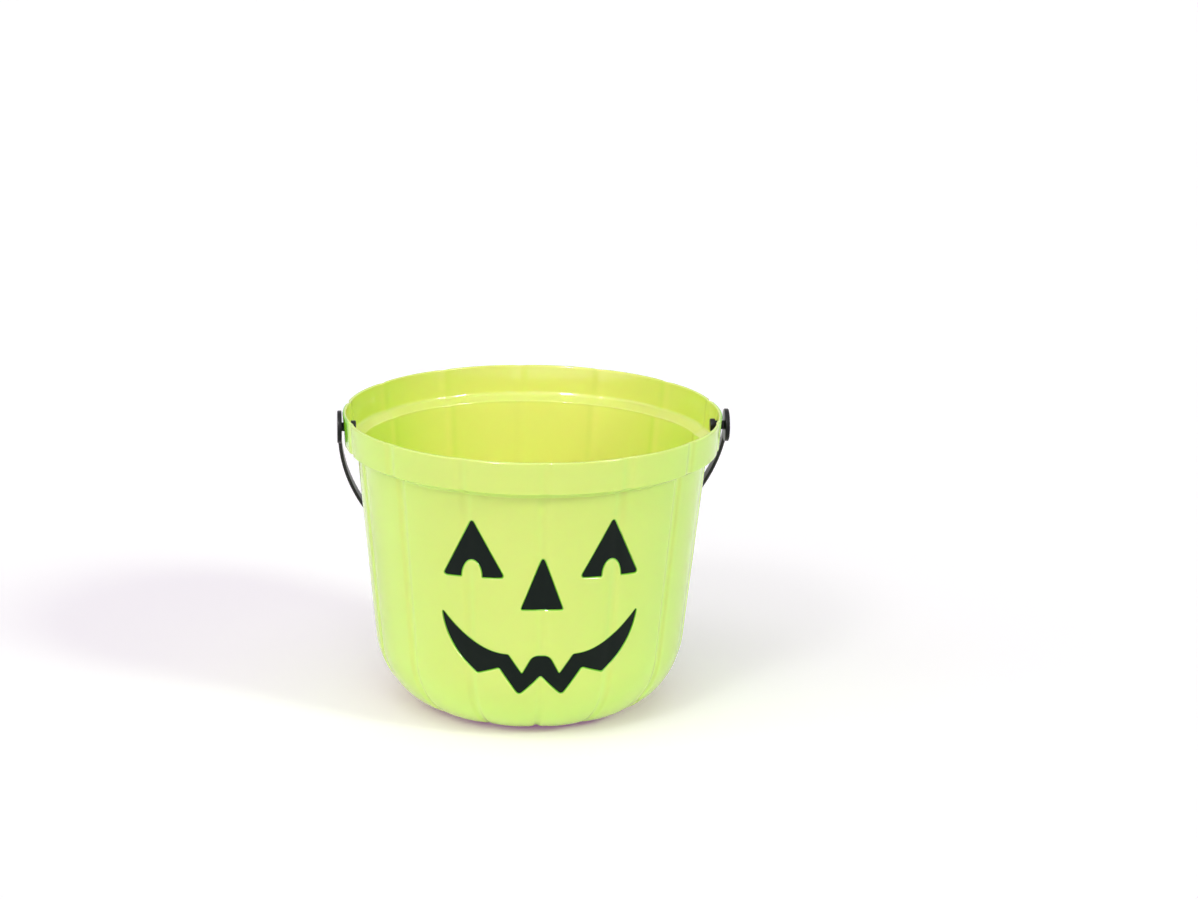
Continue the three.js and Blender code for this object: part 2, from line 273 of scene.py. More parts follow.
# The profile is swept round in crowded steps, and grooves and lobes sink it
def lobedShellTree():
    tree, given, result = newTree("lobedShell", "GeometryNodeTree", [
        ("Profile", "Geometry"), ("Lobes", "Int"), ("Steps per Lobe", "Int"), ("Crowding", "Float"),
        ("Measuring Radius", "Float"), ("Groove Depth", "Float"), ("Groove Floor", "Float"),
        ("Groove Side", "Float"), ("Lobe Crown", "Float"), ("Inside Groove", "Float"), ("Finish", "Material"),
    ], [("Shell", "Geometry")])
    add, join = nodeHelpers(tree)

    # One column of the grid for each step round, one row for each profile point
    size = add("GeometryNodeAttributeDomainSize", component="MESH")
    join(given["Profile"], size.inputs[0])
    rows = size.outputs["Point Count"]
    steps = mathNode(tree, "MULTIPLY", given["Lobes"], given["Steps per Lobe"])
    grid = add("GeometryNodeMeshGrid")
    join(mathNode(tree, "ADD", steps, 1), grid.inputs["Vertices X"])
    join(rows, grid.inputs["Vertices Y"])

    index = add("GeometryNodeInputIndex").outputs[0]
    step = mathNode(tree, "FLOOR", mathNode(tree, "DIVIDE", mathNode(tree, "ADD", index, 0.5), rows))
    row = mathNode(tree, "SUBTRACT", index, mathNode(tree, "MULTIPLY", step, rows))

    # Steps crowd towards the grooves
    alongLobe = mathNode(tree, "DIVIDE", step, given["Steps per Lobe"])
    nearest = mathNode(tree, "ROUND", alongLobe)
    offset = mathNode(tree, "SUBTRACT", alongLobe, nearest)
    reach = mathNode(tree, "POWER", mathNode(tree, "MULTIPLY", mathNode(tree, "ABSOLUTE", offset), 2),
                     given["Crowding"])
    crowded = mathNode(tree, "MULTIPLY", mathNode(tree, "MULTIPLY", reach, 0.5),
                       mathNode(tree, "SIGN", offset))
    pitch = mathNode(tree, "DIVIDE", 2 * math.pi, given["Lobes"])
    angle = mathNode(tree, "MULTIPLY", mathNode(tree, "ADD", nearest, crowded), pitch)

    # A groove has a flat floor and eased sides, and a lobe stands proudest in its middle
    offGroove = mathNode(tree, "MULTIPLY", mathNode(tree, "MULTIPLY", reach, 0.5),
                         mathNode(tree, "MULTIPLY", pitch, given["Measuring Radius"]))
    side = add("ShaderNodeMapRange", interpolation_type="SMOOTHSTEP")
    join(offGroove, side.inputs["Value"])
    join(given["Groove Floor"], side.inputs["From Min"])
    join(mathNode(tree, "ADD", given["Groove Floor"], given["Groove Side"]), side.inputs["From Max"])
    side.inputs["To Min"].default_value = 1
    side.inputs["To Max"].default_value = 0
    crown = mathNode(tree, "POWER", mathNode(tree, "SUBTRACT", 1, reach), 2)

    def alongProfile(source, dataType):
        sample = add("GeometryNodeSampleIndex", data_type=dataType, domain="POINT")
        join(given["Profile"], sample.inputs["Geometry"])
        join(source, sample.inputs["Value"])
        join(row, sample.inputs["Index"])
        return sample.outputs["Value"]

    def attribute(name):
        node = add("GeometryNodeInputNamedAttribute", data_type="FLOAT")
        node.inputs["Name"].default_value = name
        return node.outputs["Attribute"]

    # Both sink the wall, the groove less on the inside
    inside = alongProfile(attribute("inside"), "FLOAT")
    share = mathNode(tree, "MULTIPLY_ADD", inside, mathNode(tree, "SUBTRACT", given["Inside Groove"], 1), 1)
    groove = mathNode(tree, "MULTIPLY", mathNode(tree, "MULTIPLY", side.outputs["Result"], share),
                      given["Groove Depth"])
    sink = mathNode(tree, "MULTIPLY_ADD", crown, given["Lobe Crown"], groove)

    split = add("ShaderNodeSeparateXYZ")
    join(alongProfile(add("GeometryNodeInputPosition").outputs[0], "FLOAT_VECTOR"), split.inputs[0])
    sinkOut = alongProfile(attribute("sinkOut"), "FLOAT")
    sinkUp = alongProfile(attribute("sinkUp"), "FLOAT")
    radius = mathNode(tree, "MULTIPLY_ADD", sinkOut, sink, split.outputs["X"])
    height = mathNode(tree, "MULTIPLY_ADD", sinkUp, sink, split.outputs["Z"])
    place = add("ShaderNodeCombineXYZ")
    join(mathNode(tree, "MULTIPLY", radius, mathNode(tree, "SINE", angle)), place.inputs["X"])
    toBack = mathNode(tree, "MULTIPLY", radius, mathNode(tree, "COSINE", angle))
    join(mathNode(tree, "MULTIPLY", toBack, -1), place.inputs["Y"])
    join(height, place.inputs["Z"])

    shape = grid.outputs["Mesh"]
    stored = (("shellStep", mathNode(tree, "MODULO", step, steps)), ("shellRow", row), ("inside", inside))
    for name, value in stored:
        store = add("GeometryNodeStoreNamedAttribute", data_type="FLOAT", domain="POINT")
        store.inputs["Name"].default_value = name
        join(shape, store.inputs["Geometry"])
        join(value, store.inputs["Value"])
        shape = store.outputs["Geometry"]
    move = add("GeometryNodeSetPosition")
    join(shape, move.inputs["Geometry"])
    join(place.outputs[0], move.inputs["Position"])
    weld = add("GeometryNodeMergeByDistance")
    weld.inputs["Distance"].default_value = shellCut["weldDistance"] * mm
    join(move.outputs[0], weld.inputs["Geometry"])
    return endTree(tree, weld.outputs[0], given["Finish"], result["Shell"])


def treeResult(source, tree, values, name):
    modifier = source.modifiers.new(tree.name, "NODES")
    modifier.node_group = tree
    for item in tree.interface.items_tree:
        if item.in_out == "INPUT" and item.name in values:
            modifier[item.identifier] = values[item.name]
    bpy.context.scene.collection.objects.link(source)
    evaluated = source.evaluated_get(bpy.context.evaluated_depsgraph_get())
    mesh = bpy.data.meshes.new_from_object(evaluated)
    mesh.name = name
    bpy.data.objects.remove(source)
    finish = next(slot for slot in mesh.materials if slot)
    mesh.materials.clear()
    mesh.materials.append(finish)
    mesh.polygons.foreach_set("material_index", [0] * len(mesh.polygons))
    return mesh


def lineMesh(name, points, edges):
    mesh = bpy.data.meshes.new(name)
    mesh.from_pydata(points, edges, [])
    return mesh


def shellSweep(material):
    mesh = lineMesh("profile", [(r * mm, 0, z * mm) for r, z, _, _ in profile],
                    [(i, i + 1) for i in range(len(profile) - 1)])
    top = max(range(len(profile)), key=lambda i: profile[i][1])
    columns = {
        "sinkOut": [point[2] for point in profile],
        "sinkUp": [point[3] for point in profile],
        "inside": [float(i > top) for i in range(len(profile))],
    }
    for name, values in columns.items():
        mesh.attributes.new(name, "FLOAT", "POINT").data.foreach_set("value", values)
    source = bpy.data.objects.new("profile", mesh)
    return treeResult(source, lobedShellTree(), {
        "Lobes": bucket["lobes"],
        "Steps per Lobe": shellCut["stepsPerLobe"],
        "Crowding": shellCut["crowding"],
        "Measuring Radius": bucket["rimRadius"] * mm,
        "Groove Depth": bucket["grooveDepth"] * mm,
        "Groove Floor": bucket["grooveFloor"] * mm,
        "Groove Side": bucket["grooveSide"] * mm,
        "Lobe Crown": bucket["lobeCrown"] * mm,
        "Inside Groove": bucket["insideGroove"],
        "Finish": material,
    }, "bucketShell")


# The face as seen from the front, in mm: x sideways, z up
face = {
    "eyeApex": (39.6, 135.3),
    "eyeInner": (21.3, 101.8),
    "eyeOuter": (54.4, 100),
    "archX": 39,
    "archHalfWidth": 5.8,
    "archHeight": 10.3,
    "eyeEase": 2.6,
    "noseApex": 115.3,
    "noseBase": 83.1,
    "noseHalfWidth": 11.75,
    "noseApexEase": 4.4,
    "noseFootEase": 0.9,
    "grinTip": (54.4, 77.8),
    "grinBrow": (18.4, 55.3),
    "grinJowl": (35, 42.9),
    "browBend": (36.5, 55.4),
    "jowlBend": (52, 57.3),
    "lipNotch": (23.2, 47.4),
    "fang": (12, 30.8),
    "chin": (0, 43),
    "toothTip": (10.5, 43.4),
    "toothGap": (4.6, 54.7),
    "grinEase": 1.6,
    "tipEase": 0.6,
    "gapEase": 3.2,
    "fangEase": 2.4,
}

# How the recess falls away from its outline: distance outside it, and depth, both in mm
recessEdge = [(1.4, 0.0), (1.0, 0.0), (0.8, 0.06), (0.6, 0.2), (0.45, 0.4), (0.32, 0.66), (0.2, 0.86),
              (0.1, 0.96), (0.0, 1.0), (-0.5, 1.0)]

# The finer panel round the face: how far it reaches and how finely it is cut, in mm and counts
panelCut = {
    "steps": 59,
    "lowest": 24.0,
    "aboveEyes": 3.0,
    "firstRow": 1.0,
    "rowHeight": 1.5,
    "clear": 1.6,
    "clearOfBorder": 0.5,
    "outlineStep": 0.6,
    "curveSteps": 24,
    "easeSteps": 10,
    "loopTolerance": 0.02,
    "meshTolerance": 1e-4,
    "rimTolerance": 1e-3,
    "cornerFineness": 20,
    "sinkRounds": 14,
}


def mirrored(corners):
    return [((-x, z), ease) for (x, z), ease in reversed(corners)]


def bezier(start, bend, end, steps):
    shares = [i / steps for i in range(steps + 1)]
    return [tuple((1 - t) ** 2 * a + 2 * t * (1 - t) * b + t * t * c for a, b, c in zip(start, bend, end))
            for t in shares]


def eyeCorners():
    arch = []
    for i in range(panelCut["curveSteps"] + 1):
        turn = math.pi * (1 - i / panelCut["curveSteps"])
        x = face["archX"] + face["archHalfWidth"] * math.cos(turn)
        share = (x - face["eyeInner"][0]) / (face["eyeOuter"][0] - face["eyeInner"][0])
        foot = face["eyeInner"][1] + (face["eyeOuter"][1] - face["eyeInner"][1]) * share
        arch.append(((x, foot + face["archHeight"] * math.sin(turn)), 0))
    ease = face["eyeEase"]
    return [(face["eyeApex"], ease), (face["eyeInner"], ease)] + arch + [(face["eyeOuter"], ease)]


def noseCorners():
    return [((0, face["noseApex"]), face["noseApexEase"]),
            ((-face["noseHalfWidth"], face["noseBase"]), face["noseFootEase"]),
            ((face["noseHalfWidth"], face["noseBase"]), face["noseFootEase"])]


def grinCorners():
    ease = face["grinEase"]
    steps = panelCut["curveSteps"]
    brow = bezier(face["grinBrow"], face["browBend"], face["grinTip"], steps)[1:-1]
    jowl = bezier(face["grinTip"], face["jowlBend"], face["grinJowl"], steps)[1:-1]
    half = ([(face["toothGap"], face["gapEase"]), (face["toothTip"], ease), (face["grinBrow"], ease)]
            + [(point, 0) for point in brow] + [(face["grinTip"], face["tipEase"])]
            + [(point, 0) for point in jowl]
            + [(face["grinJowl"], ease), (face["lipNotch"], ease), (face["fang"], face["fangEase"])])
    return half + [(face["chin"], ease)] + mirrored(half)


# A closed outline with eased corners, cut into short even steps
def easedOutline(corners):
    line = []
    for i, (corner, ease) in enumerate(corners):
        here = np.array(corner, float)
        before = np.array(corners[i - 1][0]) - here
        after = np.array(corners[(i + 1) % len(corners)][0]) - here
        ease = min(ease, np.linalg.norm(before) / 2, np.linalg.norm(after) / 2)
        if ease == 0:
            line.append(here)
            continue
        start = here + before / np.linalg.norm(before) * ease
        end = here + after / np.linalg.norm(after) * ease
        line.extend(np.array(point) for point in bezier(start, here, end, panelCut["easeSteps"]))
    loop = np.array(line + line[:1])
    samePoint = 1e-6
    loop = loop[np.r_[True, np.linalg.norm(np.diff(loop, axis=0), axis=1) > samePoint]]
    length = np.r_[0, np.cumsum(np.linalg.norm(np.diff(loop, axis=0), axis=1))]
    count = math.ceil(length[-1] / panelCut["outlineStep"])
    at = np.linspace(0, length[-1], count, endpoint=False)
    return np.stack([np.interp(at, length, loop[:, 0]), np.interp(at, length, loop[:, 1])], 1)


# Distance of each point from a closed outline, negative inside
def distanceTo(outline, points):
    after = np.roll(outline, -1, axis=0)
    side = after - outline
    nearest = np.full(len(points), np.inf)
    inside = np.zeros(len(points), bool)
    for start, end, step in zip(outline, after, side):
        toPoint = points - start
        share = np.clip(toPoint @ step / (step @ step), 0, 1)
        nearest = np.minimum(nearest, np.hypot(*(toPoint - share[:, None] * step).T))
        crossing = (start[1] > points[:, 1]) != (end[1] > points[:, 1])
        if start[1] != end[1]:
            at = start[0] + (points[:, 1] - start[1]) / (end[1] - start[1]) * step[0]
            inside ^= crossing & (points[:, 0] < at)
    return np.where(inside, -nearest, nearest)


def offsetLoop(outline, distance):
    side = np.roll(outline, -1, axis=0) - np.roll(outline, 1, axis=0)
    area = np.sum(outline[:, 0] * np.roll(outline[:, 1], -1) - np.roll(outline[:, 0], -1) * outline[:, 1])
    normal = np.stack([side[:, 1], -side[:, 0]], 1) * np.sign(area)
    normal /= np.linalg.norm(normal, axis=1)[:, None]
    loop = outline + normal * distance
    return loop[np.abs(distanceTo(outline, loop) - distance) < panelCut["loopTolerance"]]


outlines = {
    "leftEye": easedOutline(mirrored(eyeCorners())),
    "rightEye": easedOutline(eyeCorners()),
    "nose": easedOutline(noseCorners()),
    "grin": easedOutline(grinCorners()),
}
fineCorner = shellCut["cornerRows"] * panelCut["cornerFineness"]
wallProfile = np.array([cornerPoint(i / fineCorner) for i in range(fineCorner + 1)]
                       + [(bodyTopRadius, bodyTop, -1, 0)])
notZero = 1e-12
cornerSink = wallProfile[:fineCorner + 1, 2:]
cornerNormals = -cornerSink / np.linalg.norm(cornerSink + notZero, axis=1)[:, None]
wallNormals = np.r_[cornerNormals, cornerNormals[-1:]]


# The grooves run out where the face is sunk
def sinkAt(angle, depth):
    pitch = 2 * math.pi / bucket["lobes"]
    offset = np.abs(angle - pitch * np.round(angle / pitch))
    share = np.clip((offset * bucket["rimRadius"] - bucket["grooveFloor"]) / bucket["grooveSide"], 0, 1)
    groove = 1 - share * share * (3 - 2 * share)
    crown = (1 - 2 * offset / pitch) ** 2
    return bucket["grooveDepth"] * groove * np.clip(1 - depth, 0, 1) + bucket["lobeCrown"] * crown


# Where the front of the wall lies behind the point (x, z) of the face's plan, at some depth under it
def wallY(x, z, depth):
    along = np.arange(len(wallProfile))
    at = np.interp(z, wallProfile[:, 1], along)
    sink = np.zeros_like(x)
    for _ in range(panelCut["sinkRounds"]):
        out, up = (np.interp(at, along, wallProfile[:, column]) for column in (2, 3))
        normalOut, normalUp = (np.interp(at, along, wallNormals[:, column]) for column in (0, 1))
        at = np.interp(z - up * sink + normalUp * depth, wallProfile[:, 1], along)
        radius = np.interp(at, along, wallProfile[:, 0]) + out * sink - normalOut * depth
        sink = sinkAt(np.arcsin(x / radius), depth)
    return -np.sqrt(radius ** 2 - x ** 2)


# Triangles that fill the first loop and follow the loops within it
def triangulated(points, loops):
    edges = []
    start = 0
    for loop in loops:
        edges += [(start + i, start + (i + 1) % len(loop)) for i in range(len(loop))]
        start += len(loop)
    given = [Vector(point) for loop in loops for point in loop] + [Vector(point) for point in points]
    insideOnly = 1
    flat, _, faces, origins, _, _ = geometry.delaunay_2d_cdt(
        given, edges, [], insideOnly, panelCut["meshTolerance"], True)
    flat = np.array([tuple(v) for v in flat])
    onRim = [any(i < len(loops[0]) for i in origin) for origin in origins]
    doubtful = [corners for corners in map(tuple, faces) if all(onRim[i] for i in corners)]
    centres = np.array([flat[list(corners)].mean(axis=0) for corners in doubtful])
    gaps = distanceTo(loops[0], centres)
    outside = {corners for corners, gap in zip(doubtful, gaps) if gap > -panelCut["rimTolerance"]}
    return flat, [corners for corners in map(tuple, faces) if corners not in outside], origins


def faceDistance(points):
    return np.min([distanceTo(outline, points) for outline in outlines.values()], axis=0)


# The part of the wall that holds the face is cut out of the sweep and filled with a finer panel
def addFacePanel(mesh):
    lowRow = next(i for i, point in enumerate(profile) if point[1] > panelCut["lowest"])
    highest = face["eyeApex"][1] + panelCut["aboveEyes"]
    highRow = next(i for i, point in enumerate(profile) if point[1] > highest)
    steps = bucket["lobes"] * shellCut["stepsPerLobe"]
    shell = bmesh.new()
    shell.from_mesh(mesh)
    recess = shell.verts.layers.float.new("recess")
    stepLayer = shell.verts.layers.float["shellStep"]
    rowLayer = shell.verts.layers.float["shellRow"]

    def key(vertex):
        step = round(vertex[stepLayer])
        return (step - steps if step > steps / 2 else step, round(vertex[rowLayer]))

    def within(vertex):
        step, row = key(vertex)
        return abs(step) <= panelCut["steps"] and lowRow <= row <= highRow

    doomed = [f for f in shell.faces if all(within(v) for v in f.verts)]
    bmesh.ops.delete(shell, geom=doomed, context="FACES")
    rim = {key(v): v for v in shell.verts if v.is_boundary}
    reach = panelCut["steps"]
    order = ([(step, lowRow) for step in range(-reach, reach)]
             + [(reach, row) for row in range(lowRow, highRow)]
             + [(step, highRow) for step in range(reach, -reach, -1)]
             + [(-reach, row) for row in range(highRow, lowRow, -1)])
    border = np.array([(rim[k].co.x, rim[k].co.z) for k in order]) / mm

    # Points that keep clear of the border and the face, then loops that follow each outline
    lobeStep = np.arange(-reach + 1, reach) / shellCut["stepsPerLobe"]
    offset = lobeStep - np.round(lobeStep)
    crowded = 0.5 * np.sign(offset) * np.abs(2 * offset) ** shellCut["crowding"]
    angles = (np.round(lobeStep) + crowded) * 2 * math.pi / bucket["lobes"]
    heights = np.arange(border[:, 1].min() + panelCut["firstRow"], border[:, 1].max(), panelCut["rowHeight"])
    angles, heights = (grid.ravel() for grid in np.meshgrid(angles, heights))
    radii = np.interp(heights, wallProfile[:, 1], wallProfile[:, 0])
    inner = np.stack([radii * np.sin(angles), heights], 1)
    offFace = np.abs(faceDistance(inner)) > panelCut["clear"]
    inner = inner[offFace & (distanceTo(border, inner) < -panelCut["clearOfBorder"])]

    loops = [border]
    for outline in outlines.values():
        loops += [offsetLoop(outline, distance) for distance, _ in recessEdge]
    flat, faces, origins = triangulated(inner, loops)
    distances, depths = np.array(recessEdge[::-1]).T
    depth = np.interp(faceDistance(flat), distances, depths)
    y = wallY(flat[:, 0], flat[:, 1], depth)
    made = []
    for (x, z), at, sunk, origin in zip(flat, y, depth, origins):
        shared = [i for i in origin if i < len(border)]
        if shared:
            made.append(rim[order[shared[0]]])
        else:
            vertex = shell.verts.new(Vector((x, at, z)) * mm)
            vertex[recess] = sunk
            made.append(vertex)
    for corners in faces:
        panelFace = shell.faces.new([made[i] for i in corners])
        panelFace.smooth = True
    shell.to_mesh(mesh)
    shell.free()
    print("face panel", len(faces), "faces")


# One mesh joined with others, or cut by them
def combined(mesh, tools, operation):
    collection = bpy.context.scene.collection
    base = bpy.data.objects.new("base", mesh)
    collection.objects.link(base)
    others = [bpy.data.objects.new("tool", tool) for tool in tools]
    for other in others:
        collection.objects.link(other)
        modifier = base.modifiers.new("combine", "BOOLEAN")
        modifier.solver = "EXACT"
        modifier.operation = operation
        modifier.object = other
    evaluated = base.evaluated_get(bpy.context.evaluated_depsgraph_get())
    result = bpy.data.meshes.new_from_object(evaluated)
    for leftOver in [base] + others:
        bpy.data.objects.remove(leftOver)
    return result


# A solid turned about the X axis; each point of the line holds a place along X and a radius, in mm
def turned(line, sides):
    solid = bmesh.new()
    rings = []
    for x, radius in line:
        turns = [2 * math.pi * i / sides for i in range(sides)] if radius else [0]
        ring = [Vector((x, radius * math.cos(turn), radius * math.sin(turn))) * mm for turn in turns]
        rings.append([solid.verts.new(point) for point in ring])
    for one, two in zip(rings, rings[1:]):
        for i in range(sides):
            corners = [one[i % len(one)], one[(i + 1) % len(one)]]
            corners += [two[(i + 1) % len(two)], two[i % len(two)]]
            solid.faces.new(dict.fromkeys(corners))
    bmesh.ops.recalc_face_normals(solid, faces=solid.faces)
    for side in solid.faces:
        side.smooth = True
    mesh = bpy.data.meshes.new("turned")
    solid.to_mesh(mesh)
    solid.free()
    return mesh


# The sweep with its face panel, and a pin hole through both sides
def bucketShell(material):
    mesh = shellSweep(material)
    addFacePanel(mesh)
    reach = bucket["rimRadius"] + shellCut["holeProud"]
    radius = bucket["pinHoleRadius"]
    hole = turned([(-reach, 0), (-reach, radius), (reach, radius), (reach, 0)], shellCut["holeSides"])
    hole.transform(Matrix.Translation((0, 0, pivotHeight * mm)))
    mesh = combined(mesh, [hole], "DIFFERENCE")
    mesh.set_sharp_from_angle(angle=math.radians(shellCut["sharpAngle"]))
    for name in ("shellStep", "shellRow"):
        mesh.attributes.remove(mesh.attributes[name])
    return mesh


# The coat of paint: how far its edge stays inside the outline, and the depths of its faces, in mm
paint = {
    "edgeGap": 0.0,
    "front": 0.74,
    "back": 0.96,
    "edgeRound": 0.12,
    "rounding": [(0, 1), (0.12, 0.52), (0.4, 0.2), (1, 0), (3, 0)],  # shares of edgeRound: in, and down
    "grid": 1.2,
    "clear": 0.4,
}


# A thin closed coat on the floor of a recess, with a rounded front edge
def paintSkin(outline, material):
    inset = [-paint["edgeGap"] - paint["edgeRound"] * share for share, _ in paint["rounding"]]
    loops = [offsetLoop(outline, distance) for distance in inset]
    low, high = outline.min(axis=0), outline.max(axis=0)
    across, up = (np.arange(low[axis], high[axis], paint["grid"]) for axis in (0, 1))
    across, up = np.meshgrid(across, up)
    inner = np.stack([across.ravel(), up.ravel()], 1)
    inner = inner[distanceTo(outline, inner) < inset[-1] - paint["clear"]]
    flat, faces, _ = triangulated(inner, loops)
    depths = [paint["front"] + paint["edgeRound"] * share for _, share in paint["rounding"]]
    depth = np.interp(distanceTo(outline, flat), inset[::-1], depths[::-1])
    x, z = flat.T
    front = np.stack([x, wallY(x, z, depth), z], 1)
    back = np.stack([x, wallY(x, z, np.full_like(x, paint["back"])), z], 1)
    coat = bmesh.new()
    verts = [coat.verts.new(Vector(point) * mm) for point in np.r_[front, back]]
    for corners in faces:
        coat.faces.new([verts[i] for i in corners])
        coat.faces.new([verts[i + len(flat)] for i in reversed(corners)])
    coat.verts.index_update()
    for edge in [e for e in coat.edges if e.is_boundary and e.verts[0].index < len(flat)]:
        one, two = (v.index for v in edge.verts)
        coat.faces.new([verts[i] for i in (one, two, two + len(flat), one + len(flat))])
    bmesh.ops.recalc_face_normals(coat, faces=coat.faces)
    for side in coat.faces:
        side.smooth = True
    mesh = bpy.data.meshes.new("paintSkin")
    coat.to_mesh(mesh)
    coat.free()
    mesh.materials.append(material)
    mesh.set_sharp_from_angle(angle=math.radians(shellCut["sharpAngle"]))
    return mesh


# The bail lies flat while it is made: x along its pivot axis, y towards the grip, in mm
bail = {
    "reach": 146.0,
    "legRadius": 213.0,
    "sideGap": 1.1,
    "strapWidth": 5.0,
    "strapThickness": 2.0,
    "strapEase": 0.45,
    "discRadius": 9.4,
    "discProud": 0.4,
    "discEase": 0.6,
    "pinRadius": 2.55,
    "headRadius": 3.7,
    "headFace": 104.7,
    "headLength": 2.9,
    "headEase": 0.7,
    "footRound": 0.3,
    "discBehind": 0.05,
    "endRows": 5,
    "restTurn": 49.929,
    "slidAside": 0.6,
    "legSteps": 26,
    "gripSteps": 96,
    "turnedSides": 96,
    "easeSteps": 4,
    "sharpAngle": 35,
}


# The strap's middle line: a slightly curved leg, the round grip, and the same mirrored
def bailPath():
    outer = bucket["rimRadius"] + bail["sideGap"] + bail["strapThickness"]
    legRadius, reach = bail["legRadius"], bail["reach"]
    aside = legRadius - outer
    gripRadius = (legRadius ** 2 - aside ** 2 - reach ** 2) / (2 * (legRadius - reach))
    bend = math.atan2(reach - gripRadius, aside)
    half = bail["strapThickness"] / 2
    start = bail["discRadius"] / 3 / legRadius  # the strap begins under the disc
    points = []
    for i in range(bail["legSteps"]):
        turn = start + (bend - start) * i / bail["legSteps"]
        points.append((-aside + (legRadius - half) * math.cos(turn), (legRadius - half) * math.sin(turn)))
    for i in range(bail["gripSteps"] // 2 + 1):
        turn = bend + (math.pi / 2 - bend) * i / (bail["gripSteps"] // 2)
        points.append(((gripRadius - half) * math.cos(turn),
                       reach - gripRadius + (gripRadius - half) * math.sin(turn)))
    return points + [(-x, y) for x, y in reversed(points[:-1])]


# A bar with eased edges, swept along the strap's middle line
def strapTree():
    tree, given, result = newTree("bailStrap", "GeometryNodeTree", [
        ("Path", "Geometry"), ("Width", "Float"), ("Thickness", "Float"), ("Ease", "Float"),
        ("Ease Steps", "Int"), ("Finish", "Material"),
    ], [("Strap", "Geometry")])
    add, join = nodeHelpers(tree)
    curve = add("GeometryNodeMeshToCurve")
    join(given["Path"], curve.inputs["Mesh"])
    upright = add("GeometryNodeSetCurveNormal", mode="Z_UP")
    join(curve.outputs[0], upright.inputs["Curve"])
    section = add("GeometryNodeCurvePrimitiveQuadrilateral")
    join(given["Thickness"], section.inputs["Width"])
    join(given["Width"], section.inputs["Height"])
    rounded = add("GeometryNodeFilletCurve", mode="POLY")
    join(given["Ease Steps"], rounded.inputs["Count"])
    join(section.outputs[0], rounded.inputs["Curve"])
    join(given["Ease"], rounded.inputs["Radius"])
    sweep = add("GeometryNodeCurveToMesh")
    join(upright.outputs[0], sweep.inputs["Curve"])
    join(rounded.outputs[0], sweep.inputs["Profile Curve"])
    sweep.inputs["Fill Caps"].default_value = True
    return endTree(tree, sweep.outputs[0], given["Finish"], result["Strap"])


# Disc, pin and retaining head at one end of the bail, from the outside in
def bailEnd(side):
    outer = bucket["rimRadius"] + bail["sideGap"] + bail["strapThickness"] + bail["discProud"]
    inner = bucket["rimRadius"] + bail["sideGap"] - bail["discBehind"]
    headEnd = bail["headFace"] - bail["headLength"]
    disc, pin, head, foot = bail["discRadius"], bail["pinRadius"], bail["headRadius"], bail["footRound"]
    corners = [(outer, 0, 0), (outer, disc, bail["discEase"]), (inner, disc, foot), (inner, pin, foot),
               (bail["headFace"], pin, 0), (bail["headFace"], head, foot),
               (headEnd, head, bail["headEase"]), (headEnd, 0, 0)]
    line = roundedLine(corners, bail["endRows"])
    onAxis = 1e-4
    return turned([(side * point.x, point.y if point.y > onAxis else 0) for point in line],
                  bail["turnedSides"])


def bailMesh(material):
    path = bailPath()
    line = lineMesh("bailPath", [(x * mm, y * mm, 0) for x, y in path],
                    [(i, i + 1) for i in range(len(path) - 1)])
    strap = treeResult(bpy.data.objects.new("bailPath", line), strapTree(), {
        "Width": bail["strapWidth"] * mm,
        "Thickness": bail["strapThickness"] * mm,
        "Ease": bail["strapEase"] * mm,
        "Ease Steps": bail["easeSteps"],
        "Finish": material,
    }, "bail")
    mesh = combined(strap, [bailEnd(1), bailEnd(-1)], "UNION")
    mesh.set_sharp_from_angle(angle=math.radians(bail["sharpAngle"]))
    mesh.transform(Matrix.Translation((bail["slidAside"] * mm, 0, pivotHeight * mm))
                   @ Matrix.Rotation(-math.radians(bail["restTurn"]), 4, "X"))
    return mesh


# Fine grain that the mould leaves, and slow waves where the plastic cooled
def mouldGrainTree():
    tree, given, result = newTree("mouldGrain", "ShaderNodeTree", [
        ("Fine Scale", "Float"), ("Fine Depth", "Float"), ("Wave Scale", "Float"), ("Wave Depth", "Float"),
    ], [("Height", "Float"), ("Cloud", "Float")])
    place = tree.nodes.new("ShaderNodeTexCoord").outputs["Object"]
    parts = []
    for scale, detail in ((given["Fine Scale"], 2), (given["Wave Scale"], 1)):
        noise = tree.nodes.new("ShaderNodeTexNoise")
        noise.inputs["Detail"].default_value = detail
        tree.links.new(place, noise.inputs["Vector"])
        tree.links.new(scale, noise.inputs["Scale"])
        parts.append(noise.outputs[0])
    fine = mathNode(tree, "MULTIPLY", parts[0], given["Fine Depth"])
    tree.links.new(mathNode(tree, "MULTIPLY_ADD", parts[1], given["Wave Depth"], fine), result["Height"])
    tree.links.new(parts[1], result["Cloud"])
    return tree


mouldGrain = mouldGrainTree()


def newMaterial(name, settings):
    material = bpy.data.materials.new(name)
    material.use_nodes = True
    shader = material.node_tree.nodes["Principled BSDF"]
    for key, value in settings.items():
        shader.inputs[key].default_value = value
    return material, material.node_tree, shader


def addGrain(tree, shader, values):
    grain = tree.nodes.new("ShaderNodeGroup")
    grain.node_tree = mouldGrain
    for key, value in values.items():
        grain.inputs[key].default_value = value
    bump = tree.nodes.new("ShaderNodeBump")
    bump.inputs["Distance"].default_value = 1.0
    bump.inputs["Strength"].default_value = 1.0
    tree.links.new(grain.outputs["Height"], bump.inputs["Height"])
    tree.links.new(bump.outputs[0], shader.inputs["Normal"])
    return grain


